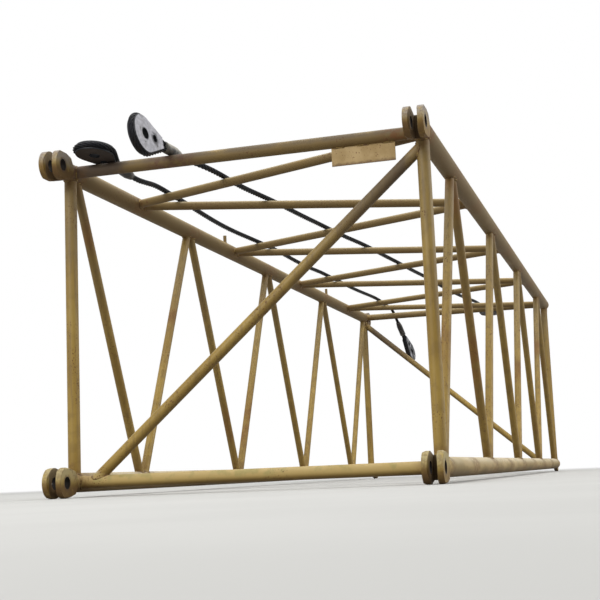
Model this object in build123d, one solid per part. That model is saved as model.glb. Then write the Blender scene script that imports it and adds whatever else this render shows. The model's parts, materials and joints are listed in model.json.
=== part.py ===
from build123d import *
import math
import os

# Lattice boom section of a crawler crane, lying level on its four lower lugs
# Millimetres. X runs along the boom, fork end at -X; Y across it, left side at +Y; Z up
# Origin: middle of the section, on the ground under the lower lugs

# Overall sizes
PIN_TO_PIN = 6000.0
SECTION_WIDTH = 1585.0
SECTION_HEIGHT = 1360.0
BAY_COUNT = 4

# Round tubes, outside diameter and wall
CHORD_OD = 83.0
CHORD_WALL = 6.0
POST_OD = 54.0
POST_WALL = 4.0
BRACE_OD = 48.0
BRACE_WALL = 4.0
LACING_OD = 42.0
LACING_WALL = 3.5

# Pin-connected lugs on the chord ends
PIN_AHEAD = 150.0
CHORD_STUB = 50.0
LUG_RADIUS = 64.0
PIN_BORE_R = 25.0
SLOT_WIDTH = 32.0
CHEEK_THICKNESS = 26.0
SIDE_PLAY = 2.0
TIP_PLAY = 6.0
SLOT_LEAD_IN = 5.0
LEAD_IN_LENGTH = 18.0
SHOULDER_LENGTH = 34.0
SHOULDER_RISE = 30.0

# Where the lacing meets the chords
NODE_SPLIT = 12.0
END_NODE_INSET = 40.0

# Diagonal of each end frame
BRACE_FOOT_IN = 92.0
BRACE_HEAD_DOWN = 56.0

# Marking plate under the front top cross tube
PLATE_LENGTH = 270.0
PLATE_DROP = 78.0
PLATE_THICKNESS = 5.0
PLATE_INSET = 250.0

# Keeper pegs on the top left chord, placed in bays from the middle of the section
PEG_OD = 20.0
PEG_HEIGHT = 45.0
PEG_BAYS = (-0.575, 1.09)

# Pendant ropes and their end fittings
ROPE_OD = 26.0
THIMBLE_GROOVE_R = 70.0
THIMBLE_FLANGE_R = 84.0
THIMBLE_WIDTH = 38.0
THIMBLE_NOSE = 148.0
THIMBLE_CHAMFER = 2.0
THIMBLE_BORE_R = 24.0
WINDOW_AHEAD = 78.0
WINDOW_R = 16.0
EYE_LENGTH = 185.0
LEG_SPREAD = 9.0
FERRULE_OD = 48.0
FERRULE_NECK_OD = 34.0
FERRULE_LENGTH = 90.0
FERRULE_TAPER = 40.0
SEAT = 0.3

# How far each end fitting is rolled about its rope, in degrees
LEFT_FRONT_ROLL = -2.5
LEFT_REAR_ROLL = 90.0
RIGHT_FRONT_ROLL = 99.0
RIGHT_REAR_ROLL = 0.0

# Share of a rope's shorter run that the arc takes at a corner of its route
ARC_SHARE = 0.45

# Values that follow from the sizes above
FRAME_X = PIN_TO_PIN / 2 - PIN_AHEAD
BAY = 2 * FRAME_X / BAY_COUNT
SIDE_Y = SECTION_WIDTH / 2
LOW_Z = LUG_RADIUS
HIGH_Z = LOW_Z + SECTION_HEIGHT
CHORD_R = CHORD_OD / 2
POST_R = POST_OD / 2
LACING_R = LACING_OD / 2
ROPE_R = ROPE_OD / 2
FORK_WIDTH = SLOT_WIDTH + 2 * CHEEK_THICKNESS
EYE_WIDTH = SLOT_WIDTH - 2 * SIDE_PLAY
ROOT = PIN_AHEAD - CHORD_STUB
CHORD_END_X = FRAME_X + CHORD_STUB
CHORD_AT = {
    "top_left": (SIDE_Y, HIGH_Z),
    "top_right": (-SIDE_Y, HIGH_Z),
    "bottom_left": (SIDE_Y, LOW_Z),
    "bottom_right": (-SIDE_Y, LOW_Z),
}
EYE_TOTAL = EYE_LENGTH + FERRULE_LENGTH + FERRULE_TAPER
REST_Z = HIGH_Z + LACING_R + ROPE_R + SEAT

# Line of the rope round a thimble: an arc, then straight legs that lean in to the ferrule mouth
LINE_R = THIMBLE_GROOVE_R + ROPE_R
LEG_REACH = math.hypot(EYE_LENGTH, LEG_SPREAD)
LEG_TOUCH = math.atan2(LEG_SPREAD, EYE_LENGTH) + math.acos(LINE_R / LEG_REACH)
LEG_LEAN = math.pi / 2 - LEG_TOUCH

# Routes of the two loose pendants, from the front ferrule to the rear one
LEFT_ROUTE = [
    (-2623.5, 599, 1442.4),
    (-2535, 589.7, 1430.4),
    (-2440, 582.5, 1429),
    (-2360, 581.5, 1442),
    (-2285, 584, REST_Z),
    (-2190, 589.5, REST_Z),
    (-2090, 597.5, REST_Z),
    (-1930, 603, REST_Z),
    (-1700, 604, 1451),
    (-1440, 606, 1447),
    (-1175, 606, 1451),
    (-910, 598, REST_Z),
    (-710, 584, REST_Z),
    (-510, 572, REST_Z),
    (-265, 563, 1452),
    (-20, 557, 1449),
    (225, 550, 1451),
    (470, 540, REST_Z),
    (715, 533.5, REST_Z),
    (960, 524, REST_Z),
    (1250, 509, 1452),
    (1545, 489, 1452),
    (1840, 475, REST_Z),
    (2130, 473, REST_Z),
    (2420, 488, REST_Z),
    (2600, 509, 1471),
    (2757, 528, 1493),
    (2835.5, 531.5, 1479),
    (2904, 522.5, 1439),
    (2948.5, 506, 1374.5),
]
RIGHT_ROUTE = [
    (-2772.5, 306, 1472.4),
    (-2673.4, 293.6, 1468),
    (-2570, 258, 1461),
    (-2430, 240, REST_Z),
    (-2280, 236, REST_Z),
    (-2120, 224, 1457.2),
    (-1960, 204, REST_Z),
    (-1760, 178, REST_Z),
    (-1550, 154, 1454.5),
    (-1335, 134, 1454.5),
    (-1125, 117, REST_Z),
    (-925, 98, REST_Z),
    (-700, 70, 1456),
    (-470, 40, REST_Z),
    (-270, 18, REST_Z),
    (-15, -4, 1455.5),
    (240, -24, REST_Z),
    (440, -41, REST_Z),
    (730, -68, 1455),
    (1015, -92, REST_Z),
    (1215, -107, REST_Z),
    (1415, -119, 1456.5),
    (1620, -133, REST_Z),
    (1820, -150, REST_Z),
    (2045, -174, 1455),
    (2275, -198, 1457.5),
    (2500, -219, 1465),
    (2728, -238, 1473),
    (2899, -256, 1461),
]

os.makedirs("parts", exist_ok=True)


def save(name, shape):
    shape.label = name
    export_step(shape, f"parts/{name}.step")
    print(f"{name}: {shape.volume / 1000:.0f} cm3")


def bar(start, end, radius):
    """Solid round bar between two points."""
    start = Vector(*start)
    run = Vector(*end) - start
    return Solid.make_cylinder(radius, run.length, Plane(origin=start, z_dir=run))


def tube(start, end, outside, wall, cutters=()):
    """Round tube between two points, its ends coped by the given solids."""
    shape = bar(start, end, outside / 2)
    for cutter in cutters:
        shape = shape - cutter
    return shape - bar(start, end, outside / 2 - wall)


def chord_bar(corner):
    """The outside of one chord as a solid, to cope other tubes against."""
    y, z = CHORD_AT[corner]
    return bar((-CHORD_END_X, y, z), (CHORD_END_X, y, z), CHORD_R)


CHORD_BARS = {corner: chord_bar(corner) for corner in CHORD_AT}


# Chords
for corner, (y, z) in CHORD_AT.items():
    save(f"chord_{corner}", tube((-CHORD_END_X, y, z), (CHORD_END_X, y, z), CHORD_OD, CHORD_WALL))


def lug_blank(width):
    """Round lug that narrows to the chord, pin centre at the origin, root at +X."""
    reach = math.hypot(ROOT, CHORD_R)
    angle = math.atan2(CHORD_R, ROOT) + math.acos(LUG_RADIUS / reach)
    touch_x = LUG_RADIUS * math.cos(angle)
    touch_z = LUG_RADIUS * math.sin(angle)
    waist = [(touch_x, touch_z), (ROOT, CHORD_R), (ROOT, -CHORD_R), (touch_x, -touch_z)]
    outline = Plane.XZ * (Circle(LUG_RADIUS) + make_face(Polyline(*waist, close=True)))
    return extrude(outline, width / 2, both=True)


def turned(profile):
    """Solid of revolution about the X axis from (x, radius) points."""
    return revolve(Plane.XZ * make_face(Polyline(*profile, close=True)), Axis.X)


def pin_bore():
    return Plane.XZ * Cylinder(PIN_BORE_R, 2 * FORK_WIDTH)


def fork():
    """Two-cheek lug; its shoulders are turned down to the round chord."""
    clear_x = -2 * LUG_RADIUS
    shoulder = turned([
        (clear_x, 0),
        (clear_x, CHORD_R + SHOULDER_RISE),
        (ROOT - SHOULDER_LENGTH, CHORD_R + SHOULDER_RISE),
        (ROOT, CHORD_R),
        (ROOT, 0),
    ])
    half = SLOT_WIDTH / 2
    mouth = half + SLOT_LEAD_IN
    floor_x = LUG_RADIUS + TIP_PLAY
    slot_plan = Polyline(
        (clear_x, mouth),
        (-LUG_RADIUS, mouth),
        (-LUG_RADIUS + LEAD_IN_LENGTH, half),
        (floor_x, half),
        (floor_x, -half),
        (-LUG_RADIUS + LEAD_IN_LENGTH, -half),
        (-LUG_RADIUS, -mouth),
        (clear_x, -mouth),
        close=True,
    )
    slot = extrude(make_face(slot_plan), FORK_WIDTH, both=True)
    return (lug_blank(FORK_WIDTH) & shoulder) - slot - pin_bore()


def eye():
    """Single lug that fits a fork slot; a cone carries it back to the chord."""
    clear_x = -2 * LUG_RADIUS
    clear_r = 2 * LUG_RADIUS
    cone_x = LUG_RADIUS + TIP_PLAY
    shoulder = turned([
        (clear_x, 0),
        (clear_x, clear_r),
        (ROOT - SHOULDER_LENGTH, clear_r),
        (ROOT, CHORD_R),
        (ROOT, 0),
    ])
    cone = turned([
        (cone_x, 0),
        (cone_x, EYE_WIDTH / 2),
        (ROOT - TIP_PLAY, CHORD_R),
        (ROOT, CHORD_R),
        (ROOT, 0),
    ])
    return (lug_blank(EYE_WIDTH) & shoulder) - pin_bore() + cone


# Lugs
fork_shape = fork()
eye_shape = eye()
for corner, (y, z) in CHORD_AT.items():
    save(f"fork_{corner}", Pos(-PIN_TO_PIN / 2, y, z) * fork_shape)
    save(f"eye_{corner}", Pos(PIN_TO_PIN / 2, y, z) * Rot(0, 0, 180) * eye_shape)


def side_post(x, side):
    y = SIDE_Y if side == "left" else -SIDE_Y
    ends = [CHORD_BARS[f"bottom_{side}"], CHORD_BARS[f"top_{side}"]]
    return tube((x, y, LOW_Z), (x, y, HIGH_Z), POST_OD, POST_WALL, ends)


def cross_tube(x, level):
    z = HIGH_Z if level == "top" else LOW_Z
    ends = [CHORD_BARS[f"{level}_left"], CHORD_BARS[f"{level}_right"]]
    return tube((x, SIDE_Y, z), (x, -SIDE_Y, z), POST_OD, POST_WALL, ends)


def brace(x, foot_side):
    """End-frame diagonal from the bottom cross tube up to the far post."""
    sign = 1 if foot_side == "left" else -1
    foot = (x, sign * (SIDE_Y - BRACE_FOOT_IN), LOW_Z)
    head = (x, -sign * SIDE_Y, HIGH_Z - BRACE_HEAD_DOWN)
    beam = bar((x, SIDE_Y, LOW_Z), (x, -SIDE_Y, LOW_Z), POST_R)
    post = bar((x, -sign * SIDE_Y, LOW_Z), (x, -sign * SIDE_Y, HIGH_Z), POST_R)
    return tube(foot, head, BRACE_OD, BRACE_WALL, [beam, post])


# End frames
for end, x in (("front", -FRAME_X), ("rear", FRAME_X)):
    save(f"{end}_post_left", side_post(x, "left"))
    save(f"{end}_post_right", side_post(x, "right"))
    save(f"{end}_cross_tube_top", cross_tube(x, "top"))
    save(f"{end}_cross_tube_bottom", cross_tube(x, "bottom"))
save("front_brace", brace(-FRAME_X, "left"))
save("rear_brace", brace(FRAME_X, "right"))


def node_x(station, side):
    """Where a lacing tube aims on a chord; side is the way the tube leaves."""
    if station == 0:
        return -FRAME_X + END_NODE_INSET
    if station == BAY_COUNT:
        return FRAME_X - END_NODE_INSET
    return -FRAME_X + station * BAY + side * NODE_SPLIT


def lacing(end_chord, mid_chord):
    """Zigzag of coped tubes from end_chord at whole bays to mid_chord at half bays."""
    end_yz = CHORD_AT[end_chord]
    mid_yz = CHORD_AT[mid_chord]
    cutters = [CHORD_BARS[end_chord], CHORD_BARS[mid_chord]]
    pieces = []
    for half in range(2 * BAY_COUNT):
        rising = half % 2 == 0
        whole = (half if rising else half + 1) / 2
        middle = (half + 1 if rising else half) / 2
        away = 1 if rising else -1
        start = (node_x(whole, away), *end_yz)
        stop = (node_x(middle, -away), *mid_yz)
        pieces.append(tube(start, stop, LACING_OD, LACING_WALL, cutters))
    return Compound(pieces)


# Lacing on the four faces
save("lacing_left", lacing("top_left", "bottom_left"))
save("lacing_right", lacing("bottom_right", "top_right"))
save("lacing_top", lacing("top_right", "top_left"))
save("lacing_bottom", lacing("bottom_left", "bottom_right"))

# Marking plate, its top edge coped to the cross tube
plate_top = HIGH_Z - POST_R / 2
plate_bottom = HIGH_Z - POST_R - PLATE_DROP
plate_y = PLATE_INSET - SIDE_Y
plate = Pos(-FRAME_X, plate_y, (plate_top + plate_bottom) / 2) * Box(
    PLATE_THICKNESS, PLATE_LENGTH, plate_top - plate_bottom
)
cross_bar = bar((-FRAME_X, SIDE_Y, HIGH_Z), (-FRAME_X, -SIDE_Y, HIGH_Z), POST_R)
save("marking_plate", plate - cross_bar)

# Keeper pegs
pegs = []
for bays in PEG_BAYS:
    foot = (bays * BAY, SIDE_Y, HIGH_Z)
    head = (bays * BAY, SIDE_Y, HIGH_Z + CHORD_R + PEG_HEIGHT)
    pegs.append(bar(foot, head, PEG_OD / 2) - CHORD_BARS["top_left"])
save("keeper_pegs", Compound(pegs))


def eye_loop(radius):
    """Round bar along the rope's line round a thimble, cut off square at the ferrule mouth."""
    bend = revolve(Plane.XZ * Pos(LINE_R, 0) * Circle(radius), Axis.Z, 360 - 2 * math.degrees(LEG_TOUCH))
    loop = Rot(0, 0, math.degrees(LEG_TOUCH)) * bend
    leg_length = math.sqrt(LEG_REACH**2 - LINE_R**2) + radius * math.tan(LEG_LEAN) + SEAT
    beyond = Pos(EYE_LENGTH + ROPE_OD, 0, 0) * Box(2 * ROPE_OD, 2 * (LEG_SPREAD + ROPE_OD), 2 * ROPE_OD)
    for side in (1, -1):
        foot = (LINE_R * math.cos(LEG_TOUCH), side * LINE_R * math.sin(LEG_TOUCH), 0)
        tip = (
            foot[0] + leg_length * math.cos(LEG_LEAN),
            foot[1] - side * leg_length * math.sin(LEG_LEAN),
            0,
        )
        loop = loop + (bar(foot, tip, radius) - beyond)
    return loop


def thimble():
    """Solid teardrop thimble, pin hole along Z at the origin, nose towards the ferrule at +X."""
    touch_x = THIMBLE_FLANGE_R * math.cos(LEG_TOUCH)
    touch_y = THIMBLE_FLANGE_R * math.sin(LEG_TOUCH)
    nose_y = touch_y - (THIMBLE_NOSE - touch_x) * math.tan(LEG_LEAN)
    nose = [(touch_x, touch_y), (THIMBLE_NOSE, nose_y), (THIMBLE_NOSE, -nose_y), (touch_x, -touch_y)]
    outline = Circle(THIMBLE_FLANGE_R) + make_face(Polyline(*nose, close=True))
    blank = extrude(outline, THIMBLE_WIDTH / 2, both=True)
    blank = chamfer(blank.faces().filter_by(Axis.Z).edges(), THIMBLE_CHAMFER)
    pin_hole = Cylinder(THIMBLE_BORE_R, 2 * THIMBLE_WIDTH)
    window = Pos(WINDOW_AHEAD, 0, 0) * Cylinder(WINDOW_R, 2 * THIMBLE_WIDTH)
    return blank - eye_loop(ROPE_R + SEAT) - pin_hole - window


def ferrule():
    """Pressed sleeve behind the eye, tapered towards the rope."""
    neck_x = EYE_LENGTH + FERRULE_LENGTH
    return turned([
        (EYE_LENGTH, 0),
        (EYE_LENGTH, FERRULE_OD / 2),
        (neck_x, FERRULE_OD / 2),
        (EYE_TOTAL, FERRULE_NECK_OD / 2),
        (EYE_TOTAL, 0),
    ])


def rope(name, route):
    """Rope as straight runs joined by tangent arcs."""
    radii = []
    for before, here, after in zip(route, route[1:], route[2:]):
        turn = (here - before).get_angle(after - here)
        shorter = min((here - before).length, (after - here).length)
        radii.append(ARC_SHARE * shorter / math.tan(math.radians(turn / 2)))
    line = FilletPolyline(*route, radius=radii)
    section = Plane(origin=line @ 0, z_dir=line % 0) * Circle(ROPE_R)
    body = sweep(section, path=line)
    check = math.pi * ROPE_R**2 * line.length
    print(f"{name} arc radii {[round(radius) for radius in radii]}")
    print(f"{name} volume / (section x length) {body.volume / check:.4f}")
    print(f"{name} rope {line.length:.0f} mm, pin to pin {line.length + 2 * EYE_TOTAL:.0f} mm")
    return body


def eye_frame(rope_end, next_point, roll):
    """Frame of an end fitting, in line with the rope's end run and rolled about it."""
    towards_rope = (next_point - rope_end).normalized()
    across = (Vector(0, 1, 0) - towards_rope * towards_rope.Y).normalized()
    turn = math.radians(roll)
    pin_axis = towards_rope.cross(across) * math.cos(turn) + across * math.sin(turn)
    return Plane(rope_end - towards_rope * EYE_TOTAL, x_dir=towards_rope, z_dir=pin_axis)


def pendant(name, points, front_roll, rear_roll):
    route = [Vector(*point) for point in points]
    save(f"{name}_rope", rope(name, route))
    frames = {
        "front": eye_frame(route[0], route[1], front_roll),
        "rear": eye_frame(route[-1], route[-2], rear_roll),
    }
    for end, frame in frames.items():
        save(f"{name}_{end}_thimble", frame * thimble())
        save(f"{name}_{end}_loop", frame * eye_loop(ROPE_R))
        save(f"{name}_{end}_ferrule", frame * ferrule())


# Pendants; a thimble rolled by 0 degrees lies flat, by 90 it stands on edge
pendant("pendant_left", LEFT_ROUTE, front_roll=LEFT_FRONT_ROLL, rear_roll=LEFT_REAR_ROLL)
pendant("pendant_right", RIGHT_ROUTE, front_roll=RIGHT_FRONT_ROLL, rear_roll=RIGHT_REAR_ROLL)
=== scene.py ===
import json
import math

import bpy
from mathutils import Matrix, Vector


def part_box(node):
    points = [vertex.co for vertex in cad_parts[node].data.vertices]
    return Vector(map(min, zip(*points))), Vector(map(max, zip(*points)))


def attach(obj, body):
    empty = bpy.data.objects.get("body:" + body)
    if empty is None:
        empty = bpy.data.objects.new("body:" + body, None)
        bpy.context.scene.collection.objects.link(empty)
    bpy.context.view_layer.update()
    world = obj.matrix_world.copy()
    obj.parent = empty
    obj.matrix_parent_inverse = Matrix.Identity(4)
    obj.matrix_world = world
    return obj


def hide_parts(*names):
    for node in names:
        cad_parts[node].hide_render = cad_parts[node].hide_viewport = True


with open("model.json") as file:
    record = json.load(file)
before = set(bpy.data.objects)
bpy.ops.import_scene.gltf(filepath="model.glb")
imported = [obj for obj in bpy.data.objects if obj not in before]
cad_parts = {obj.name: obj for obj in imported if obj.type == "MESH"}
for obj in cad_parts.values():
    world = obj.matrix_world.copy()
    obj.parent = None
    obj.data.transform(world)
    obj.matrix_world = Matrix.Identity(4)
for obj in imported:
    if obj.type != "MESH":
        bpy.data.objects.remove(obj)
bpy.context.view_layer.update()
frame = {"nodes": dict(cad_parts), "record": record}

# Looks of a lattice boom section of a crawler crane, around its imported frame
# Metres. X runs along the boom, fork end at -X; Y across it, left side at +Y; Z up

nodes = frame["nodes"]
mounts = {mount["name"]: mount for mount in frame["record"]["mounts"]}

# Camera: at the photograph's viewpoint, turned and zoomed onto the section
CAMERA_PLACE = (-7.5702, -1.5895, 0.0563)
CAMERA_TURN = (98.303, 2.373, -73.740)
CAMERA_LENS = 72.0
CAMERA_REACH = 200.0

camera = bpy.data.objects.new("camera", bpy.data.cameras.new("camera"))
bpy.context.collection.objects.link(camera)
camera.location = CAMERA_PLACE
camera.rotation_euler = [math.radians(turn) for turn in CAMERA_TURN]
camera.data.lens = CAMERA_LENS
camera.data.clip_end = CAMERA_REACH
bpy.context.scene.camera = camera


def middle_and_half(node):
    """Middle of a node's box, and half its size."""
    low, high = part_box(node)
    return (low + high) / 2, (high - low) / 2


# Sizes of the frame, read from its nodes and mounts
top_chord, chord_half = middle_and_half("chord_top_left")
bottom_chord, _ = middle_and_half("chord_bottom_left")
front_post, post_half = middle_and_half("front_post_left")
plate, plate_half = middle_and_half("marking_plate")
_, lacing_half = middle_and_half("lacing_left")
_, brace_half = middle_and_half("front_brace")
peg_row, peg_row_half = middle_and_half("keeper_pegs")
SIDE_Y = top_chord.y
HIGH_Z = top_chord.z
LOW_Z = bottom_chord.z
MID_Z = (LOW_Z + HIGH_Z) / 2
HALF_HEIGHT = (HIGH_Z - LOW_Z) / 2
CHORD_R = chord_half.y
CHORD_END_X = chord_half.x
FRAME_X = -front_post.x
POST_R = post_half.x
BRACE_R = brace_half.x
LACING_R = lacing_half.y
PEG_R = peg_row_half.y
cheek = mounts["fork_top_left_outer_cheek"]
PIN_X = -cheek["pos_m"][0]
PIN_BORE_R = cheek["dims"]["r_mm"] / 1000
SLOT_HALF = cheek["pos_m"][1] - SIDE_Y - cheek["dims"]["length_mm"] / 2000

# Where the tubes meet, as the construction has them
BAY_COUNT = 4
BAY = 2 * FRAME_X / BAY_COUNT
NODE_SPLIT = 0.012
END_NODE_INSET = 0.040
BRACE_FOOT_IN = 0.092
BRACE_HEAD_DOWN = 0.056
CHORD_AT = {
    "top_left": (SIDE_Y, HIGH_Z),
    "top_right": (-SIDE_Y, HIGH_Z),
    "bottom_left": (SIDE_Y, LOW_Z),
    "bottom_right": (-SIDE_Y, LOW_Z),
}

# Routes of the two loose pendants, from the front ferrule to the rear one
ROPE_R = 0.013
REST_Z = 1.4583
LEFT_ROUTE = [
    (-2.6235, 0.599, 1.4424),
    (-2.580, 0.5944, 1.4365),
    (-2.480, 0.592, 1.444),
    (-2.380, 0.592, 1.456),
    (-2.285, 0.593, REST_Z),
    (-2.190, 0.5965, REST_Z),
    (-2.090, 0.5985, REST_Z),
    (-1.930, 0.603, REST_Z),
    (-1.700, 0.604, 1.451),
    (-1.440, 0.606, 1.447),
    (-1.175, 0.606, 1.451),
    (-0.910, 0.598, REST_Z),
    (-0.710, 0.584, REST_Z),
    (-0.510, 0.572, REST_Z),
    (-0.265, 0.563, 1.452),
    (-0.020, 0.557, 1.449),
    (0.225, 0.550, 1.451),
    (0.470, 0.540, REST_Z),
    (0.715, 0.5335, REST_Z),
    (0.960, 0.524, REST_Z),
    (1.250, 0.509, 1.452),
    (1.545, 0.489, 1.452),
    (1.840, 0.475, REST_Z),
    (2.130, 0.473, REST_Z),
    (2.420, 0.488, REST_Z),
    (2.600, 0.509, 1.471),
    (2.757, 0.528, 1.493),
    (2.8355, 0.5315, 1.479),
    (2.904, 0.5225, 1.439),
    (2.9485, 0.506, 1.3745),
]
RIGHT_ROUTE = [
    (-2.7725, 0.306, 1.4724),
    (-2.6734, 0.2936, 1.468),
    (-2.570, 0.258, 1.461),
    (-2.430, 0.240, REST_Z),
    (-2.280, 0.236, REST_Z),
    (-2.120, 0.224, 1.4572),
    (-1.960, 0.204, REST_Z),
    (-1.760, 0.178, REST_Z),
    (-1.550, 0.154, 1.4545),
    (-1.335, 0.134, 1.4545),
    (-1.125, 0.117, REST_Z),
    (-0.925, 0.098, REST_Z),
    (-0.700, 0.070, 1.456),
    (-0.470, 0.040, REST_Z),
    (-0.270, 0.018, REST_Z),
    (-0.015, -0.004, 1.4555),
    (0.240, -0.024, REST_Z),
    (0.440, -0.041, REST_Z),
    (0.730, -0.068, 1.455),
    (1.015, -0.092, REST_Z),
    (1.215, -0.107, REST_Z),
    (1.415, -0.119, 1.4565),
    (1.620, -0.133, REST_Z),
    (1.820, -0.150, REST_Z),
    (2.045, -0.174, 1.455),
    (2.275, -0.198, 1.4575),
    (2.500, -0.219, 1.465),
    (2.728, -0.238, 1.473),
    (2.899, -0.256, 1.461),
]

# Rope round a thimble: an arc, then straight legs that lean in to the ferrule mouth
LINE_R = 0.083
EYE_LENGTH = 0.185
LEG_SPREAD = 0.009
ARC_POINTS = 6
WINDOW_AHEAD = 0.078

# Rope along a smooth line: steps per point of its route, one turn of a strand, and rings of mesh
LINE_STEPS = 16
LAY_LENGTH = 0.165
RING_STEP = 0.008
STRANDS = 6
POINTS_PER_STRAND = 8


def smooth_line(name, route):
    """Points of the smooth line that a route gives, as control points of one open spline."""
    curve = bpy.data.curves.new(name, "CURVE")
    curve.dimensions = "3D"
    curve.resolution_u = LINE_STEPS
    spline = curve.splines.new("NURBS")
    spline.points.add(len(route) - 1)
    for point, place in zip(spline.points, route):
        point.co = (*place, 1)
    spline.order_u = 3
    spline.use_endpoint_u = True
    holder = bpy.data.objects.new(name, curve)
    mesh = bpy.data.meshes.new_from_object(holder)
    line = [vertex.co.copy() for vertex in mesh.vertices]
    bpy.data.objects.remove(holder)
    bpy.data.meshes.remove(mesh)
    return line


def evenly(line, step):
    """The same line with its points about one step apart."""
    lengths = [0.0]
    for before, after in zip(line, line[1:]):
        lengths.append(lengths[-1] + (after - before).length)
    count = max(2, round(lengths[-1] / step))
    out, part = [], 0
    for number in range(count + 1):
        along = lengths[-1] * number / count
        while part < len(line) - 2 and lengths[part + 1] < along:
            part += 1
        share = (along - lengths[part]) / max(lengths[part + 1] - lengths[part], 1e-9)
        out.append(line[part].lerp(line[part + 1], min(share, 1.0)))
    return out


def new_piece(name, places, faces, finish):
    """A mesh piece that rides on the frame."""
    mesh = bpy.data.meshes.new(name)
    mesh.from_pydata(places, [], faces)
    mesh.validate()
    mesh.update()
    mesh.shade_smooth()
    mesh.materials.append(finish)
    piece = bpy.data.objects.new(name, mesh)
    bpy.context.collection.objects.link(piece)
    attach(piece, "root")
    return piece


def strand_outline():
    """(angle, radius) round a rope of six touching strands."""
    strand_r = ROPE_R / 3
    outline = []
    for strand in range(STRANDS):
        for number in range(POINTS_PER_STRAND):
            lean = ((number + 0.5) / POINTS_PER_STRAND - 0.5) * 2 * math.pi / STRANDS
            reach = 2 * strand_r * math.cos(lean)
            bulge = math.sqrt(max(strand_r**2 - (2 * strand_r * math.sin(lean)) ** 2, 0))
            outline.append((strand * 2 * math.pi / STRANDS + lean, reach + bulge))
    return outline


def laid_rope(name, line, finish):
    """Six-strand rope along a line, its strands turning once in each lay length."""
    line = evenly(line, RING_STEP)
    outline = strand_outline()
    round_count = len(outline)
    places, faces, uv_rows = [], [], []
    side, along = None, 0.0
    for number, centre in enumerate(line):
        ahead = line[min(number + 1, len(line) - 1)] - line[max(number - 1, 0)]
        ahead.normalize()
        if side is None:
            side = ahead.orthogonal().normalized()
        side = (side - ahead * side.dot(ahead)).normalized()
        across = ahead.cross(side)
        if number:
            along += (centre - line[number - 1]).length
        turn = 2 * math.pi * along / LAY_LENGTH
        for angle, radius in outline:
            places.append(centre + radius * (math.cos(angle + turn) * side + math.sin(angle + turn) * across))
        uv_rows.append(along)
    for ring in range(len(line) - 1):
        for number in range(round_count):
            after = (number + 1) % round_count
            low, high = ring * round_count, (ring + 1) * round_count
            faces.append((low + number, low + after, high + after, high + number))
    faces.append(tuple(range(round_count))[::-1])
    faces.append(tuple(range(len(places) - round_count, len(places))))
    rope = new_piece(name, places, faces, finish)
    wires = rope.data.uv_layers.new(name="wires")
    for face in rope.data.polygons:
        for corner in face.loop_indices:
            vertex = rope.data.loops[corner].vertex_index
            ring, number = divmod(vertex, round_count)
            # The last face of a ring closes the round, so its far corners carry the full count
            if number == 0 and face.index % round_count == round_count - 1 and len(face.vertices) == 4:
                number = round_count
            wires.data[corner].uv = (number / POINTS_PER_STRAND, uv_rows[ring])
    return rope


def linear(code):
    """Linear colour of an sRGB hex value."""
    out = []
    for start in (1, 3, 5):
        value = int(code[start:start + 2], 16) / 255
        out.append(value / 12.92 if value <= 0.04045 else ((value + 0.055) / 1.055) ** 2.4)
    return (*out, 1.0)


# Finer steps in the edges of every patch of noise
DETAIL = 3.5


def per_mm(size):
    """Noise scale, in metres, for patches about this many millimetres across."""
    return 1000 / size


def add(tree, kind, out=None, inputs=None, **settings):
    """Adds a node with its settings and links, and returns its output of that name."""
    node = tree.nodes.new("ShaderNode" + kind)
    for key, value in settings.items():
        setattr(node, key, value)
    for key, value in (inputs or {}).items():
        if isinstance(value, bpy.types.NodeSocket):
            tree.links.new(value, node.inputs[key])
        else:
            node.inputs[key].default_value = value
    return node.outputs[out] if out else node


def layer(tree, under, over, *limits, most=1.0):
    """Lays one (colour, roughness) over another where every limit lets it through. A limit is a
    value, where the layer starts and where it is full. Returns the new pair and the share covered."""
    share = most
    for value, starts, full in limits:
        fade = {"Value": value, "From Min": starts, "From Max": full}
        part = add(tree, "MapRange", "Result", fade, interpolation_type="SMOOTHSTEP")
        share = add(tree, "Math", "Value", {0: part, 1: share}, operation="MULTIPLY")
    colour = add(tree, "MixRGB", "Color", {"Fac": share, "Color1": under[0], "Color2": over[0]})
    rough = add(tree, "MapRange", "Result", {"Value": share, "To Min": under[1], "To Max": over[1]})
    return (colour, rough), share


def from_line(tree, corner, across, point):
    """Distance from the line through a point; across is 1 on the two axes that count."""
    flat = add(tree, "VectorMath", "Vector", {0: corner, 1: across}, operation="MULTIPLY")
    return add(tree, "VectorMath", "Value", {0: flat, 1: point}, operation="DISTANCE")


def new_finish(name):
    """A material with an empty node tree, and the place on the section that its patterns follow."""
    finish = bpy.data.materials.new(name)
    finish.use_nodes = True
    tree = finish.node_tree
    tree.nodes.clear()
    return finish, tree, add(tree, "TexCoord", "Object")


def surface(tree, look, height, lift, strength, metallic=0.0, gloss=0.5):
    """Joins a (colour, roughness) pair and a relief of this lift in metres to the shader."""
    bump = add(tree, "Bump", "Normal", {"Height": height, "Distance": lift, "Strength": strength})
    inputs = {"Base Color": look[0], "Roughness": look[1], "Normal": bump, "Metallic": metallic}
    inputs["Specular IOR Level"] = gloss
    add(tree, "OutputMaterial", inputs={"Surface": add(tree, "BsdfPrincipled", "BSDF", inputs)})


def facing_up(tree):
    """How much the surface faces up: 1 on top, -1 underneath."""
    return add(tree, "SeparateXYZ", "Z", {0: add(tree, "NewGeometry", "Normal")})


def corner_place(tree, place):
    """Place from the middle of the section, without its sign, because the four corners are alike."""
    middle = add(tree, "VectorMath", "Vector", {0: place, 1: (0, 0, MID_Z)}, operation="SUBTRACT")
    return add(tree, "VectorMath", "Vector", {0: middle}, operation="ABSOLUTE")


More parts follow.
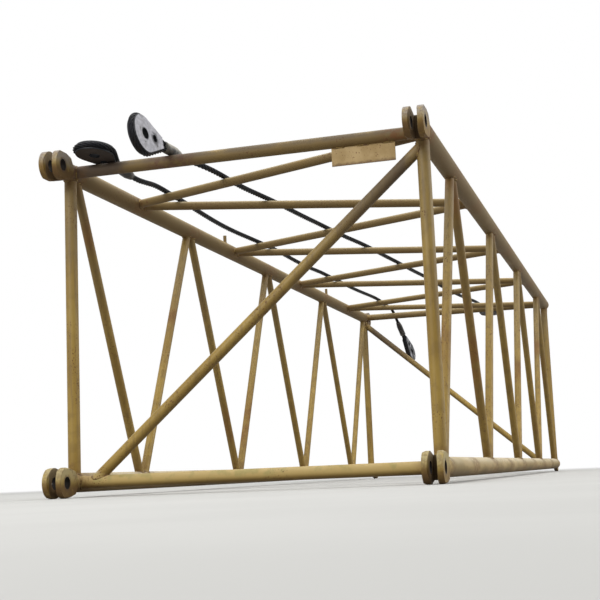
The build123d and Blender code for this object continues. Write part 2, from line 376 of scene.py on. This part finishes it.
def tube_places(tree, place):
    """What the finish of the tubes follows: where a point is and which way it faces, and how far it
    is from the middle of the nearest chord and, along the section, from the nearest lacing joint."""
    at = {"place": place, "up": facing_up(tree)}
    at["x"], at["y"], at["z"] = (add(tree, "SeparateXYZ", part, {0: place}) for part in "XYZ")
    # How far out to the side, and how far above or below the middle
    corner = corner_place(tree, place)
    at["side"], at["level"] = (add(tree, "SeparateXYZ", part, {0: corner}) for part in "YZ")
    at["from_chord"] = from_line(tree, corner, (0, 1, 1), (0, SIDE_Y, HALF_HEIGHT))
    along = add(tree, "Math", "Value", {0: at["x"], 1: FRAME_X}, operation="ADD")
    at["from_joint"] = add(tree, "Math", "Value", {0: along, 1: BAY / 4}, operation="PINGPONG")
    return at


def weathering(tree, look, at, patch):
    """Uneven ochre, with runs of dirty water, a duller tone higher up, chalky enamel and a painted highlight
    on top, and dust.
    """
    look, _ = layer(tree, look, (linear("#8D7028"), 0.52), (patch[420], 0.35, 0.66))
    look, _ = layer(tree, look, (linear("#765D25"), 0.58), (patch[60], 0.50, 0.66), most=0.4)

    # Runs 16 mm wide and 300 mm long, down the posts and the side lacing
    run_place = add(tree, "Mapping", "Vector", {"Vector": at["place"], "Scale": (62, 62, 3.3)})
    runs = add(tree, "TexNoise", "Fac", {"Vector": run_place, "Scale": 1.0, "Detail": 3.0})
    standing = (at["level"], HALF_HEIGHT - 0.05, HALF_HEIGHT - 0.11)
    look, _ = layer(tree, look, (linear("#6B5329"), 0.6), (runs, 0.50, 0.70), standing, most=0.5)

    # The enamel is duller higher up, where nothing shelters it
    dull = ((at["z"], MID_Z - 0.2, HIGH_Z - 0.1), (patch[140], 0.15, 0.5))
    look, _ = layer(tree, look, (linear("#655A46"), 0.6), *dull, most=0.45)

    # Chalky enamel and a painted highlight on the faces that point up, where sun and rain reach, a greyer
    # skin on the chords, dust on the low ones
    chalk_and_highlight = ((at["up"], 0.35, 0.95), (patch[140], 0.25, 0.6))
    look, _ = layer(tree, look, (linear("#B9AB84"), 0.8), *chalk_and_highlight, most=0.5)
    on_chord = (at["from_chord"], 0.050, 0.044)
    look, _ = layer(tree, look, (linear("#847346"), 0.75), on_chord, (patch[90], 0.40, 0.60), most=0.6)
    low_dust = ((at["z"], LOW_Z + 0.05, LOW_Z + 0.04), (at["up"], 0.0, 0.8), (patch[140], 0.2, 0.5))
    look, _ = layer(tree, look, (linear("#D0C2A4"), 0.85), *low_dust, most=0.8)
    return look


def painted_shade_and_dark_brace_heads(tree, look, at, patch):
    """Painted brown shade on every face that points down, strongest on the sides and undersides of the tubes
    overhead, and a darker brown on the braces' heads.
    """
    # Patchy painted shade, brown, on every face that points down
    shade_facing_down = ((at["up"], 0.15, -0.75), (patch[90], 0.1, 0.45))
    look, _ = layer(tree, look, (linear("#4E3A17"), 0.7), *shade_facing_down, most=0.65)
    # Painted shade on the sides and undersides of the tubes overhead
    overhead = ((at["z"], HIGH_Z - 0.045, HIGH_Z - 0.035), (at["up"], 0.85, 0.15))
    look, _ = layer(tree, look, (linear("#67522B"), 0.75), *overhead, most=0.72)
    # Darker brown on the upper part of each brace, fading out towards the posts
    below_cross = (at["z"], HIGH_Z - 0.03, HIGH_Z - 0.06)
    brace_head = ((at["z"], HIGH_Z - 0.50, HIGH_Z - 0.16), (at["side"], SIDE_Y - 0.045, SIDE_Y - 0.09))
    look, _ = layer(tree, look, (linear("#44362A"), 0.75), *brace_head, below_cross, most=0.75)
    return look


def front_cross_tubes(tree, look, at, patch):
    """The upper one under the rope ends: grey dust on top, grease and rust to its ends, the grease at the
    left end with the painted shadow of the thimble over it. The lower one: dried mud and a green film of
    algae, because it stays wet longest."""
    on_front = (at["x"], -FRAME_X + 0.05, -FRAME_X + 0.03)
    upper = (on_front, (at["z"], HIGH_Z - 0.04, HIGH_Z - 0.03))
    dust = ((at["up"], -0.3, 0.5), (patch[140], 0.2, 0.5))
    look, _ = layer(tree, look, (linear("#625646"), 0.85), *upper, *dust, most=0.8)
    # Grease at the left end, darkened further with the painted shadow of the thimble that rests on the tube
    left_end = ((at["y"], 0.49, 0.56), (patch[60], 0.2, 0.45))
    look, _ = layer(tree, look, (linear("#493B31"), 0.7), *upper, *left_end, most=0.8)
    right_end = ((at["y"], -0.58, -0.70), (patch[26], 0.36, 0.60))
    look, _ = layer(tree, look, (linear("#6A3F1A"), 0.8), *upper, *right_end, most=0.75)
    from_ferrule = from_line(tree, at["place"], (1, 1, 0), (-FRAME_X, RIGHT_ROUTE[0][1], 0))
    drip = ((from_ferrule, 0.15, 0.05), (patch[26], 0.30, 0.55))
    look, _ = layer(tree, look, (linear("#56352A"), 0.7), *upper, *drip, most=0.6)

    lower = (on_front, (at["z"], LOW_Z + 0.04, LOW_Z + 0.03))
    mud = ((at["up"], -0.8, 0.1), (patch[90], 0.12, 0.36))
    look, _ = layer(tree, look, (linear("#B79D61"), 0.8), *lower, *mud, most=0.85)
    damp = ((at["up"], -0.5, 0.3), (patch[60], 0.50, 0.64))
    look, _ = layer(tree, look, (linear("#83834A"), 0.8), *lower, *damp, most=0.4)
    return look


def rust(tree, look, at, patch):
    """A thin film over parts of the side lacing, stains round the joints, and raised specks about
    7 mm across where the enamel is thin. Also returns the share that the specks cover."""
    film = ((patch[420], 0.57, 0.68), (patch[60], 0.30, 0.55))
    film += ((at["x"], -FRAME_X + 0.05, -FRAME_X + 0.15),)
    on_side = ((at["side"], SIDE_Y - 0.06, SIDE_Y - 0.03), (at["from_chord"], 0.044, 0.060))
    look, _ = layer(tree, look, (linear("#754718"), 0.75), *film, *on_side, most=0.5)
    joint = ((at["from_chord"], 0.125, 0.045), (at["from_joint"], 0.15, 0.045))
    look, _ = layer(tree, look, (linear("#6A4A22"), 0.75), *joint, (patch[26], 0.34, 0.58), most=0.6)
    thin = (patch[140], 0.5, 0.62)
    return layer(tree, look, (linear("#56301A"), 0.85), (patch[7], 0.60, 0.66), thin)


def enamel_on_tube(name):
    """Machine enamel, ochre, brushed over steel tube and left outdoors for years: chalky, with a painted
    highlight on top, painted brown shade underneath, dark runs down the posts, rust creeping out of the
    welded joints."""
    finish, tree, place = new_finish(name)
    at = tube_places(tree, place)
    # The larger patches are three times as long along the boom, as the brush and the rain left them
    brushed = add(tree, "Mapping", "Vector", {"Vector": place, "Scale": (0.33, 1, 1)})
    patch = {}
    for size in (420, 140, 90, 60, 26, 7, 5):
        pattern = {"Vector": brushed if size > 50 else place, "Scale": per_mm(size), "Detail": DETAIL}
        patch[size] = add(tree, "TexNoise", "Fac", pattern)

    look = (linear("#A08337"), 0.46)
    look = weathering(tree, look, at, patch)
    look = painted_shade_and_dark_brace_heads(tree, look, at, patch)
    look = front_cross_tubes(tree, look, at, patch)
    look, specks = rust(tree, look, at, patch)
    relief = add(tree, "Math", "Value", {0: specks, 1: 0.8, 2: patch[5]}, operation="MULTIPLY_ADD")
    surface(tree, look, relief, lift=0.0006, strength=0.25)
    return finish


def enamel_on_lug(name):
    """The same enamel on flame-cut lugs: pale dust on top, brown where water hangs, painted shade on the
    faces that point down and deep in the slot, grease under painted black shade in the bore, and rubbed to
    brown steel where the pins and the next section bear."""
    finish, tree, place = new_finish(name)
    up = facing_up(tree)
    corner = corner_place(tree, place)
    beyond, across = (add(tree, "SeparateXYZ", part, {0: corner}) for part in "XY")
    from_pin = from_line(tree, corner, (1, 0, 1), (PIN_X, 0, HALF_HEIGHT))
    from_middle = from_line(tree, corner, (0, 1, 0), (0, SIDE_Y, 0))
    x, z = (add(tree, "SeparateXYZ", part, {0: place}) for part in "XZ")
    # Height over the pin's axis, the same at the upper and the lower lugs
    over_low = add(tree, "Math", "Value", {0: z, 1: LOW_Z}, operation="SUBTRACT")
    over_high = add(tree, "Math", "Value", {0: z, 1: HIGH_Z}, operation="SUBTRACT")
    upper = add(tree, "Math", "Value", {0: z, 1: MID_Z}, operation="GREATER_THAN")
    over_pin = add(tree, "Mix", "Result", {"Factor": upper, "A": over_low, "B": over_high})
    patch = {}
    for size in (60, 30, 12, 5):
        patch[size] = add(tree, "TexNoise", "Fac", {"Vector": place, "Scale": per_mm(size), "Detail": DETAIL})

    look = (linear("#AA9048"), 0.58)
    look, _ = layer(tree, look, (linear("#8E7434"), 0.6), (patch[60], 0.35, 0.65))
    bleached = ((over_pin, -0.02, 0.045), (patch[30], 0.22, 0.5))
    look, _ = layer(tree, look, (linear("#B5A880"), 0.8), *bleached, most=0.75)
    look, _ = layer(tree, look, (linear("#938A84"), 0.8), *bleached, (upper, 0.2, 0.8), most=0.85)
    hung = ((over_pin, 0.020, -0.030), (patch[30], 0.18, 0.45))
    look, _ = layer(tree, look, (linear("#63451F"), 0.7), *hung, most=0.55)
    inner_cheek = (across, SIDE_Y + 0.012, SIDE_Y - 0.012)
    look, _ = layer(tree, look, (linear("#452C14"), 0.7), *hung, inner_cheek, most=0.65)
    # Painted shade, brown, on the faces that point down
    underneath = ((up, 0.05, -0.7), (patch[60], 0.2, 0.5))
    look, _ = layer(tree, look, (linear("#5B4526"), 0.7), *underneath, most=0.7)
    rim = ((from_pin, 0.055, 0.063), (patch[12], 0.42, 0.60))
    look, _ = layer(tree, look, (linear("#64482A"), 0.6), *rim, most=0.4)
    round_pin = ((from_pin, 0.040, 0.028), (patch[12], 0.3, 0.55))
    look, _ = layer(tree, look, (linear("#4A3320"), 0.5), *round_pin, most=0.7)

    # Walls of the fork's slot: dusty at the mouth and the top, brown with old grease, and darker with painted
    # shade lower down and further in
    slot = ((from_middle, SLOT_HALF + 0.0012, SLOT_HALF + 0.0004), (x, 0.1, -0.1))
    look, _ = layer(tree, look, (linear("#8C7B5E"), 0.75), *slot, most=0.9)
    look, _ = layer(tree, look, (linear("#5A4222"), 0.65), *slot, (over_pin, 0.040, -0.02), most=0.8)
    look, _ = layer(tree, look, (linear("#4A361C"), 0.65), *slot, (beyond, PIN_X, PIN_X - 0.06), most=0.7)
    # Painted black shade in the pin bore, over its old grease
    bore = (from_pin, PIN_BORE_R + 0.0016, PIN_BORE_R + 0.0004)
    look, _ = layer(tree, look, (linear("#1C1611"), 0.75), bore)

    # Flame-cut edges leave drag lines about 3 mm apart across the thickness
    cut_place = add(tree, "Mapping", "Vector", {"Vector": place, "Scale": (330, 20, 330)})
    drag = add(tree, "TexNoise", "Fac", {"Vector": cut_place, "Scale": 1.0, "Detail": 2.0})
    surface(tree, look, drag, lift=0.0008, strength=0.3, gloss=0.3)
    return finish


def greased_wire_rope(name):
    """Drawn steel wire under old black grease: blue-black and soft-shining, brown in patches, with
    the wires of a strand showing as fine slanted lines."""
    finish, tree, place = new_finish(name)
    up = facing_up(tree)
    wires = add(tree, "UVMap", "UV", uv_map="wires")
    # About nine wires show across a strand; they lie nearly in line with the rope
    slant = add(tree, "Mapping", "Vector", {"Vector": wires, "Scale": (9.0, 55.0, 1.0)})
    u, v = (add(tree, "SeparateXYZ", part, {0: slant}) for part in "XY")
    count = add(tree, "Math", "Value", {0: u, 1: v}, operation="ADD")
    saw = add(tree, "Math", "Value", {0: count, 1: 0.5}, operation="PINGPONG")
    patch = {}
    for size in (130, 45, 6):
        patch[size] = add(tree, "TexNoise", "Fac", {"Vector": place, "Scale": per_mm(size), "Detail": DETAIL})

    look = (linear("#0C0E14"), 0.45)
    look, _ = layer(tree, look, (linear("#191614"), 0.6), (patch[45], 0.45, 0.70))
    look, _ = layer(tree, look, (linear("#4B4740"), 0.8), (up, 0.4, 0.98), (patch[130], 0.45, 0.65), most=0.3)
    rusty = ((patch[130], 0.55, 0.66), (patch[6], 0.48, 0.6))
    look, _ = layer(tree, look, (linear("#43301F"), 0.75), *rusty, most=0.4)
    surface(tree, look, saw, lift=0.0006, strength=0.5, gloss=0.14)
    return finish


def weathered_zinc(name, pin, towards_rope, grease_starts):
    """Cast steel, galvanised and gone dull: pale grey spangled faces, black round the pin hole and the
    window, with black grease in the groove and over the faces where the noise is above a level."""
    finish, tree, place = new_finish(name)
    centre, axis = Vector(pin["pos_m"]), Vector(pin["axis"])
    normal = add(tree, "NewGeometry", "Normal")
    lean = add(tree, "VectorMath", "Value", {0: normal, 1: tuple(axis)}, operation="DOT_PRODUCT")
    face_on = add(tree, "Math", "Value", {0: lean}, operation="ABSOLUTE")
    window = centre + WINDOW_AHEAD * towards_rope
    from_hole = add(tree, "VectorMath", "Value", {0: place, 1: tuple(centre)}, operation="DISTANCE")
    from_window = add(tree, "VectorMath", "Value", {0: place, 1: tuple(window)}, operation="DISTANCE")
    patch = {}
    for size in (40, 22, 14):
        patch[size] = add(tree, "TexNoise", "Fac", {"Vector": place, "Scale": per_mm(size), "Detail": DETAIL})

    look = (linear("#AEADB3"), 0.5)
    look, _ = layer(tree, look, (linear("#97979D"), 0.56), (patch[14], 0.35, 0.65))
    look, _ = layer(tree, look, (linear("#77746F"), 0.7), (patch[40], 0.50, 0.72), most=0.45)
    black = (linear("#101217"), 0.5)
    look, _ = layer(tree, look, black, (from_hole, 0.036, 0.030), (patch[22], 0.2, 0.45), most=0.9)
    look, _ = layer(tree, look, black, (from_window, 0.042, 0.024), (patch[22], 0.25, 0.5), most=0.9)
    look, _ = layer(tree, look, black, (face_on, 0.97, 0.80), most=0.95)
    look, greasy = layer(tree, look, black, (patch[40], grease_starts, grease_starts + 0.1), most=0.96)
    down = ((facing_up(tree), -0.4, -0.8), (face_on, 0.85, 0.97))
    look, _ = layer(tree, look, (linear("#352B25"), 0.85), *down, most=0.85)
    shine = add(tree, "MapRange", "Result", {"Value": greasy, "To Min": 0.3, "To Max": 0.0})
    surface(tree, look, patch[14], lift=0.0005, strength=0.2, metallic=shine, gloss=0.35)
    return finish


def pressed_sleeve(name, grease_starts, dusty):
    """Steel sleeve pressed on the rope: dull grey smeared with its grease, and road dust dried on
    top where the sleeve lies in the open."""
    finish, tree, place = new_finish(name)
    up = facing_up(tree)
    patch = {}
    for size in (35, 9, 4):
        patch[size] = add(tree, "TexNoise", "Fac", {"Vector": place, "Scale": per_mm(size), "Detail": DETAIL})

    look = (linear("#6E6D69"), 0.40)
    greasy = (patch[35], grease_starts - 0.15, grease_starts + 0.10)
    look, smear = layer(tree, look, (linear("#1F1D1C"), 0.5), greasy)
    dried = ((up, -0.2, 0.5), (patch[35], 0.2, 0.45))
    look, _ = layer(tree, look, (linear("#B9B4A8"), 0.85), *dried, most=dusty)
    look, _ = layer(tree, look, (linear("#5E3B22"), 0.8), (patch[9], 0.60, 0.68), most=0.7)
    shine = add(tree, "MapRange", "Result", {"Value": smear, "To Min": 0.4, "To Max": 0.1})
    surface(tree, look, patch[4], lift=0.0005, strength=0.25, metallic=shine)
    return finish


def enamel_on_plate(name):
    """Sheet steel under flat ochre enamel: plain and sun-bleached, browner along its lower edge
    where rain hangs."""
    finish, tree, place = new_finish(name)
    z = add(tree, "SeparateXYZ", "Z", {0: place})
    patch = {}
    for size in (80, 25, 6):
        patch[size] = add(tree, "TexNoise", "Fac", {"Vector": place, "Scale": per_mm(size), "Detail": DETAIL})
    wavy = add(tree, "Math", "Value", {0: patch[25], 1: 0.02, 2: z}, operation="MULTIPLY_ADD")
    low = plate.z - plate_half.z

    look = (linear("#AA8E58"), 0.5)
    look, _ = layer(tree, look, (linear("#977B45"), 0.58), (patch[80], 0.35, 0.65))
    look, _ = layer(tree, look, (linear("#5A4023"), 0.7), (wavy, low + 0.024, low + 0.011), most=0.8)
    look, _ = layer(tree, look, (linear("#5B3019"), 0.8), (patch[6], 0.65, 0.70))
    surface(tree, look, patch[6], lift=0.0005, strength=0.2)
    return finish


def painted_weld(name):
    """Arc-weld bead under the same enamel, which thins over the ripples and rusts there first; chalky, with a
    painted highlight on top, and painted shade underneath.
    """
    finish, tree, place = new_finish(name)
    up = facing_up(tree)
    patch = {}
    for size in (18, 3):
        patch[size] = add(tree, "TexNoise", "Fac", {"Vector": place, "Scale": per_mm(size), "Detail": DETAIL})

    look = (linear("#967B41"), 0.6)
    look, _ = layer(tree, look, (linear("#5C3C20"), 0.75), (patch[18], 0.42, 0.6))
    # Chalky enamel and a painted highlight on the faces that point up
    look, _ = layer(tree, look, (linear("#B5A781"), 0.8), (up, 0.3, 0.95), most=0.35)
    # Painted shade, brown, on the faces that point down
    look, _ = layer(tree, look, (linear("#42311A"), 0.75), (up, 0.0, -0.8), most=0.6)
    surface(tree, look, patch[3], lift=0.0006, strength=0.4)
    return finish


tube_enamel = enamel_on_tube("weathered_ochre_enamel")
lug_enamel = enamel_on_lug("worn_enamel_on_lugs")
rope_steel = greased_wire_rope("greased_wire_rope")
plate_enamel = enamel_on_plate("flat_enamel_on_plate")
weld_enamel = painted_weld("painted_weld_bead")


def refinish(node, finish):
    """Gives a solid of the frame its finish."""
    node.data.materials.clear()
    node.data.materials.append(finish)


for name, node in nodes.items():
    if name.startswith(("fork_", "eye_")):
        refinish(node, lug_enamel)
    elif name == "marking_plate":
        refinish(node, plate_enamel)
    elif not name.startswith("pendant_"):
        refinish(node, tube_enamel)


# Pendants: laid rope along each route, and round each thimble
def way_round(centre, towards_rope, aside):
    """The rope's way round a thimble: a leg from the ferrule, the arc, and the leg back."""
    touch = math.atan2(LEG_SPREAD, EYE_LENGTH) + math.acos(LINE_R / math.hypot(EYE_LENGTH, LEG_SPREAD))
    step = 2 * (math.pi - touch) / ARC_POINTS
    lead = LINE_R * math.tan(step / 2)
    knee_ahead = LINE_R * math.cos(touch) + lead * math.sin(touch)
    knee_aside = LINE_R * math.sin(touch) - lead * math.cos(touch)
    flat = [(EYE_LENGTH, LEG_SPREAD), (knee_ahead, knee_aside)]
    # Corners of a polygon round the arc, which the spline touches at the middle of each side
    for number in range(ARC_POINTS):
        angle = touch + (number + 0.5) * step
        reach = LINE_R / math.cos(step / 2)
        flat.append((reach * math.cos(angle), reach * math.sin(angle)))
    flat += [(knee_ahead, -knee_aside), (EYE_LENGTH, -LEG_SPREAD)]
    return [centre + ahead * towards_rope + beside * aside for ahead, beside in flat]


def pendant(name, points, front_look, rear_look):
    """One loose pendant: its rope, its two eyes and their fittings. A look is how much grease
    the fittings have lost and how dusty the ferrule is."""
    route = [Vector(point) for point in points]
    rope_line = smooth_line(f"{name}_line", route)
    rope = laid_rope(f"{name}_laid_rope", rope_line, rope_steel)
    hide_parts(f"{name}_rope")
    fittings = []
    for end, rope_end, (grease_starts, dusty) in (
        ("front", route[0], front_look),
        ("rear", route[-1], rear_look),
    ):
        pin = mounts[f"{name}_{end}_pin"]
        centre = Vector(pin["pos_m"])
        towards_rope = (rope_end - centre).normalized()
        aside = Vector(pin["axis"]).cross(towards_rope)
        eye_line = smooth_line(f"{name}_{end}_line", way_round(centre, towards_rope, aside))
        eye = laid_rope(f"{name}_{end}_laid_eye", eye_line, rope_steel)
        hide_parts(f"{name}_{end}_loop")
        thimble, ferrule = nodes[f"{name}_{end}_thimble"], nodes[f"{name}_{end}_ferrule"]
        zinc = weathered_zinc(f"weathered_zinc_{name}_{end}", pin, towards_rope, grease_starts)
        refinish(thimble, zinc)
        refinish(ferrule, pressed_sleeve(f"pressed_sleeve_{name}_{end}", grease_starts, dusty))
        fittings += [thimble, ferrule]
    [tuple(point) for point in evenly(rope_line, RING_STEP)]


# The right front thimble stands clear and is nearly clean; the left front one lies in its grease
pendant("pendant_left", LEFT_ROUTE, front_look=(0.26, 0.15), rear_look=(0.40, 0.2))
pendant("pendant_right", RIGHT_ROUTE, front_look=(0.64, 0.85), rear_look=(0.50, 0.5))

# Weld beads: fillets with a ripple every few millimetres, and three stitches along the plate
BEAD_R = 0.0045
RIPPLE = 0.0045
RIPPLE_SHARE = 0.16
WANDER_SHARE = 0.10
BEAD_SIDES = 8
SADDLE_POINTS = 120
LUG_RING_POINTS = 160
LUG_BEAD_SINK = 0.0049
STITCH_HALF = 0.022
STITCH_POINTS = 40
STITCHES_FROM_MIDDLE = (-0.105, 0.0, 0.105)


def bead_mesh(beads):
    """Places and faces of closed beads, each a list of (point, radius) round a joint."""
    places, faces = [], []
    for bead in beads:
        count = len(bead)
        first = len(places)
        middle = sum((place for place, _ in bead), Vector()) / count
        for number, (point, radius) in enumerate(bead):
            ahead = (bead[(number + 1) % count][0] - bead[number - 1][0]).normalized()
            side = (point - middle) - ahead * (point - middle).dot(ahead)
            side.normalize()
            across = ahead.cross(side)
            for corner in range(BEAD_SIDES):
                angle = 2 * math.pi * corner / BEAD_SIDES
                places.append(point + radius * (math.cos(angle) * side + math.sin(angle) * across))
        for number in range(count):
            low = first + number * BEAD_SIDES
            high = first + (number + 1) % count * BEAD_SIDES
            for corner in range(BEAD_SIDES):
                after = (corner + 1) % BEAD_SIDES
                faces.append((low + corner, low + after, high + after, high + corner))
    return places, faces


def rippled(points):
    """A bead along these points, with its radius rising and falling at each ripple, and in three
    slow swells round the joint, as in a weld laid by hand."""
    around = sum((points[number] - points[number - 1]).length for number in range(len(points)))
    ripples = round(around / RIPPLE)
    bead = []
    for number, point in enumerate(points):
        turn = 2 * math.pi * number / len(points)
        ripple = RIPPLE_SHARE * (math.cos(ripples * turn) - 0.5)
        wander = WANDER_SHARE * math.sin(3 * turn + 1.7)
        bead.append((point, BEAD_R * (1 + ripple + wander)))
    return bead


def saddle(inner, outer, radius, host_dir, host_r):
    """Where a round tube that starts at outer's axis meets the round tube that runs along host_dir
    through it; inner is a point further up the coped tube."""
    inner, outer, host_dir = Vector(inner), Vector(outer), Vector(host_dir)
    way = (outer - inner).normalized()
    first = way.orthogonal().normalized()
    second = way.cross(first)
    points = []
    for number in range(SADDLE_POINTS):
        angle = 2 * math.pi * number / SADDLE_POINTS
        start = inner + radius * (math.cos(angle) * first + math.sin(angle) * second) - outer
        flat_start = start - host_dir * start.dot(host_dir)
        flat_way = way - host_dir * way.dot(host_dir)
        a, b, c = flat_way.length_squared, 2 * flat_start.dot(flat_way), flat_start.length_squared - host_r**2
        root = (-b - math.sqrt(max(b * b - 4 * a * c, 0))) / (2 * a)
        points.append(outer + start + way * root)
    return points


def node_x(station, side):
    """Where a lacing tube aims on a chord; side is the way the tube leaves."""
    if station == 0:
        return -FRAME_X + END_NODE_INSET
    if station == BAY_COUNT:
        return FRAME_X - END_NODE_INSET
    return -FRAME_X + station * BAY + side * NODE_SPLIT


# Ways that a tube with others welded to it runs
ALONG = (1, 0, 0)
ACROSS = (0, 1, 0)
UPWARD = (0, 0, 1)


def lacing_beads(end_chord, mid_chord):
    """Beads at both ends of each lacing tube on a face."""
    beads = []
    for half in range(2 * BAY_COUNT):
        rising = half % 2 == 0
        whole = (half if rising else half + 1) / 2
        middle = (half + 1 if rising else half) / 2
        away = 1 if rising else -1
        start = (node_x(whole, away), *CHORD_AT[end_chord])
        stop = (node_x(middle, -away), *CHORD_AT[mid_chord])
        beads.append(rippled(saddle(stop, start, LACING_R, ALONG, CHORD_R)))
        beads.append(rippled(saddle(start, stop, LACING_R, ALONG, CHORD_R)))
    return beads


def end_frame_beads(x, foot_side):
    """Beads of the posts, cross tubes and diagonal of one end frame."""
    beads = []
    for side in (1, -1):
        low, high = (x, side * SIDE_Y, LOW_Z), (x, side * SIDE_Y, HIGH_Z)
        beads.append(rippled(saddle(high, low, POST_R, ALONG, CHORD_R)))
        beads.append(rippled(saddle(low, high, POST_R, ALONG, CHORD_R)))
    for z in (LOW_Z, HIGH_Z):
        left, right = (x, SIDE_Y, z), (x, -SIDE_Y, z)
        beads.append(rippled(saddle(left, right, POST_R, ALONG, CHORD_R)))
        beads.append(rippled(saddle(right, left, POST_R, ALONG, CHORD_R)))
    foot = (x, foot_side * (SIDE_Y - BRACE_FOOT_IN), LOW_Z)
    head = (x, -foot_side * SIDE_Y, HIGH_Z - BRACE_HEAD_DOWN)
    beads.append(rippled(saddle(head, foot, BRACE_R, ACROSS, POST_R)))
    beads.append(rippled(saddle(foot, head, BRACE_R, UPWARD, POST_R)))
    return beads


def lug_beads():
    """Beads round the chord where each lug is welded on, sunk so that none stands past its sides."""
    beads = []
    ring_r = CHORD_R - LUG_BEAD_SINK
    for y, z in CHORD_AT.values():
        for x in (-CHORD_END_X, CHORD_END_X):
            ring = []
            for number in range(LUG_RING_POINTS):
                angle = 2 * math.pi * number / LUG_RING_POINTS
                ring.append(Vector((x, y + ring_r * math.cos(angle), z + ring_r * math.sin(angle))))
            beads.append(rippled(ring))
    return beads


def peg_beads():
    """Beads round the feet of the keeper pegs."""
    beads = []
    for x in (peg_row.x - peg_row_half.x + PEG_R, peg_row.x + peg_row_half.x - PEG_R):
        head, foot = (x, SIDE_Y, HIGH_Z + 2 * CHORD_R), (x, SIDE_Y, HIGH_Z)
        beads.append(rippled(saddle(head, foot, PEG_R, ALONG, CHORD_R)))
    return beads


def plate_beads():
    """Short beads along both sides of the marking plate, where it hangs from the cross tube."""
    beads = []
    seam_z = HIGH_Z - math.sqrt(POST_R**2 - plate_half.x**2)
    for from_middle in STITCHES_FROM_MIDDLE:
        ring = []
        for side in (-1, 1):
            for number in range(STITCH_POINTS):
                along = side * STITCH_HALF * (1 - 2 * number / (STITCH_POINTS - 1))
                ring.append(Vector((plate.x + side * plate_half.x, plate.y + from_middle + along, seam_z)))
        beads.append(rippled(ring))
    return beads


weld_groups = {
    "welds_left_face": lacing_beads("top_left", "bottom_left"),
    "welds_right_face": lacing_beads("bottom_right", "top_right"),
    "welds_top_face": lacing_beads("top_right", "top_left") + peg_beads(),
    "welds_bottom_face": lacing_beads("bottom_left", "bottom_right"),
    "welds_front_frame": end_frame_beads(-FRAME_X, 1) + plate_beads(),
    "welds_rear_frame": end_frame_beads(FRAME_X, -1),
    "welds_lugs": lug_beads(),
}
for name, beads in weld_groups.items():
    places, faces = bead_mesh(beads)
    new_piece(name, places, faces, weld_enamel)

# Studio: a wide floor that fades into white between two distances from its middle
FLOOR_HALF = 60.0
FLOOR_MIDDLE = (-3.0, -0.5, 0.0)
NEAR_FLOOR = 5.5
FAR_FLOOR = 12.0
WHITE = (1.0, 1.0, 1.0, 1.0)


def seen_ray(tree):
    """1 for a ray that shows the white studio: from the camera, a reflection or through glass."""
    seen = 0.0
    for ray in ("Is Camera Ray", "Is Glossy Ray", "Is Transmission Ray"):
        seen = add(tree, "Math", "Value", {0: add(tree, "LightPath", ray), 1: seen}, operation="MAXIMUM")
    return seen


def pale_screed(name):
    """Smooth screed, pale and faintly mottled, that fades into the white studio behind. The light
    that it throws back is darker and warmer than it looks, so that undersides stay in shade."""
    finish, tree, place = new_finish(name)
    mottle = add(tree, "TexNoise", "Fac", {"Vector": place, "Scale": per_mm(600), "Detail": 3.0})
    screed = (linear("#C2C1BD"), 0.9)
    screed, _ = layer(tree, screed, (linear("#BFBEBA"), 0.9), (mottle, 0.35, 0.65))
    seen = seen_ray(tree)
    tones = {"Fac": seen, "Color1": linear("#97938B"), "Color2": screed[0]}
    colour = add(tree, "MixRGB", "Color", tones)
    ground = add(tree, "BsdfPrincipled", "BSDF", {"Base Color": colour, "Roughness": 0.9})
    white = add(tree, "Emission", "Emission", {"Color": WHITE, "Strength": 1.0})
    distance = add(tree, "VectorMath", "Value", {0: place, 1: FLOOR_MIDDLE}, operation="DISTANCE")
    fade = {"Value": distance, "From Min": NEAR_FLOOR, "From Max": FAR_FLOOR}
    far = add(tree, "MapRange", "Result", fade, interpolation_type="SMOOTHSTEP")
    share = add(tree, "Math", "Value", {0: seen, 1: far}, operation="MULTIPLY")
    mixed = add(tree, "MixShader", "Shader", {0: share, 1: ground, 2: white})
    add(tree, "OutputMaterial", inputs={"Surface": mixed})
    return finish


def floor():
    """The floor that the section lies on."""
    mesh = bpy.data.meshes.new("floor")
    corners = [(x * FLOOR_HALF, y * FLOOR_HALF, 0) for x, y in ((-1, -1), (1, -1), (1, 1), (-1, 1))]
    mesh.from_pydata(corners, [], [(0, 1, 2, 3)])
    mesh.materials.append(pale_screed("pale_screed"))
    ground = bpy.data.objects.new("floor", mesh)
    bpy.context.collection.objects.link(ground)


def pale_sky():
    """An even pale sky that lights the section, and shows as white."""
    world = bpy.data.worlds.new("studio")
    bpy.context.scene.world = world
    world.use_nodes = True
    tree = world.node_tree
    tree.nodes.clear()
    fill = add(tree, "Background", "Background", {"Color": linear("#F4F6F8"), "Strength": 0.55})
    white = add(tree, "Background", "Background", {"Color": WHITE, "Strength": 1.0})
    mixed = add(tree, "MixShader", "Shader", {0: seen_ray(tree), 1: fill, 2: white})
    add(tree, "OutputWorld", inputs={"Surface": mixed})


def soft_box(name, place, aim, size, power):
    """A square lamp that faces a point."""
    lamp = bpy.data.lights.new(name, "AREA")
    lamp.shape = "SQUARE"
    lamp.size = size
    lamp.energy = power
    box = bpy.data.objects.new(name, lamp)
    bpy.context.collection.objects.link(box)
    box.location = place
    box.rotation_euler = (Vector(aim) - Vector(place)).to_track_quat("-Z", "Y").to_euler()


floor()

# Light: an even pale sky, a wide soft box overhead, and one each to the front and the right
pale_sky()
soft_box("overhead", place=(0.0, 0.0, 7.0), aim=(0.0, 0.0, 0.7), size=7.0, power=380.0)
soft_box("front", place=(-9.0, 2.5, 4.5), aim=(-0.5, 0.0, 0.7), size=4.0, power=340.0)
soft_box("right_side", place=(0.5, -9.0, 4.0), aim=(0.0, 0.0, 0.7), size=4.0, power=300.0)

bpy.context.scene.view_settings.view_transform = "Standard"
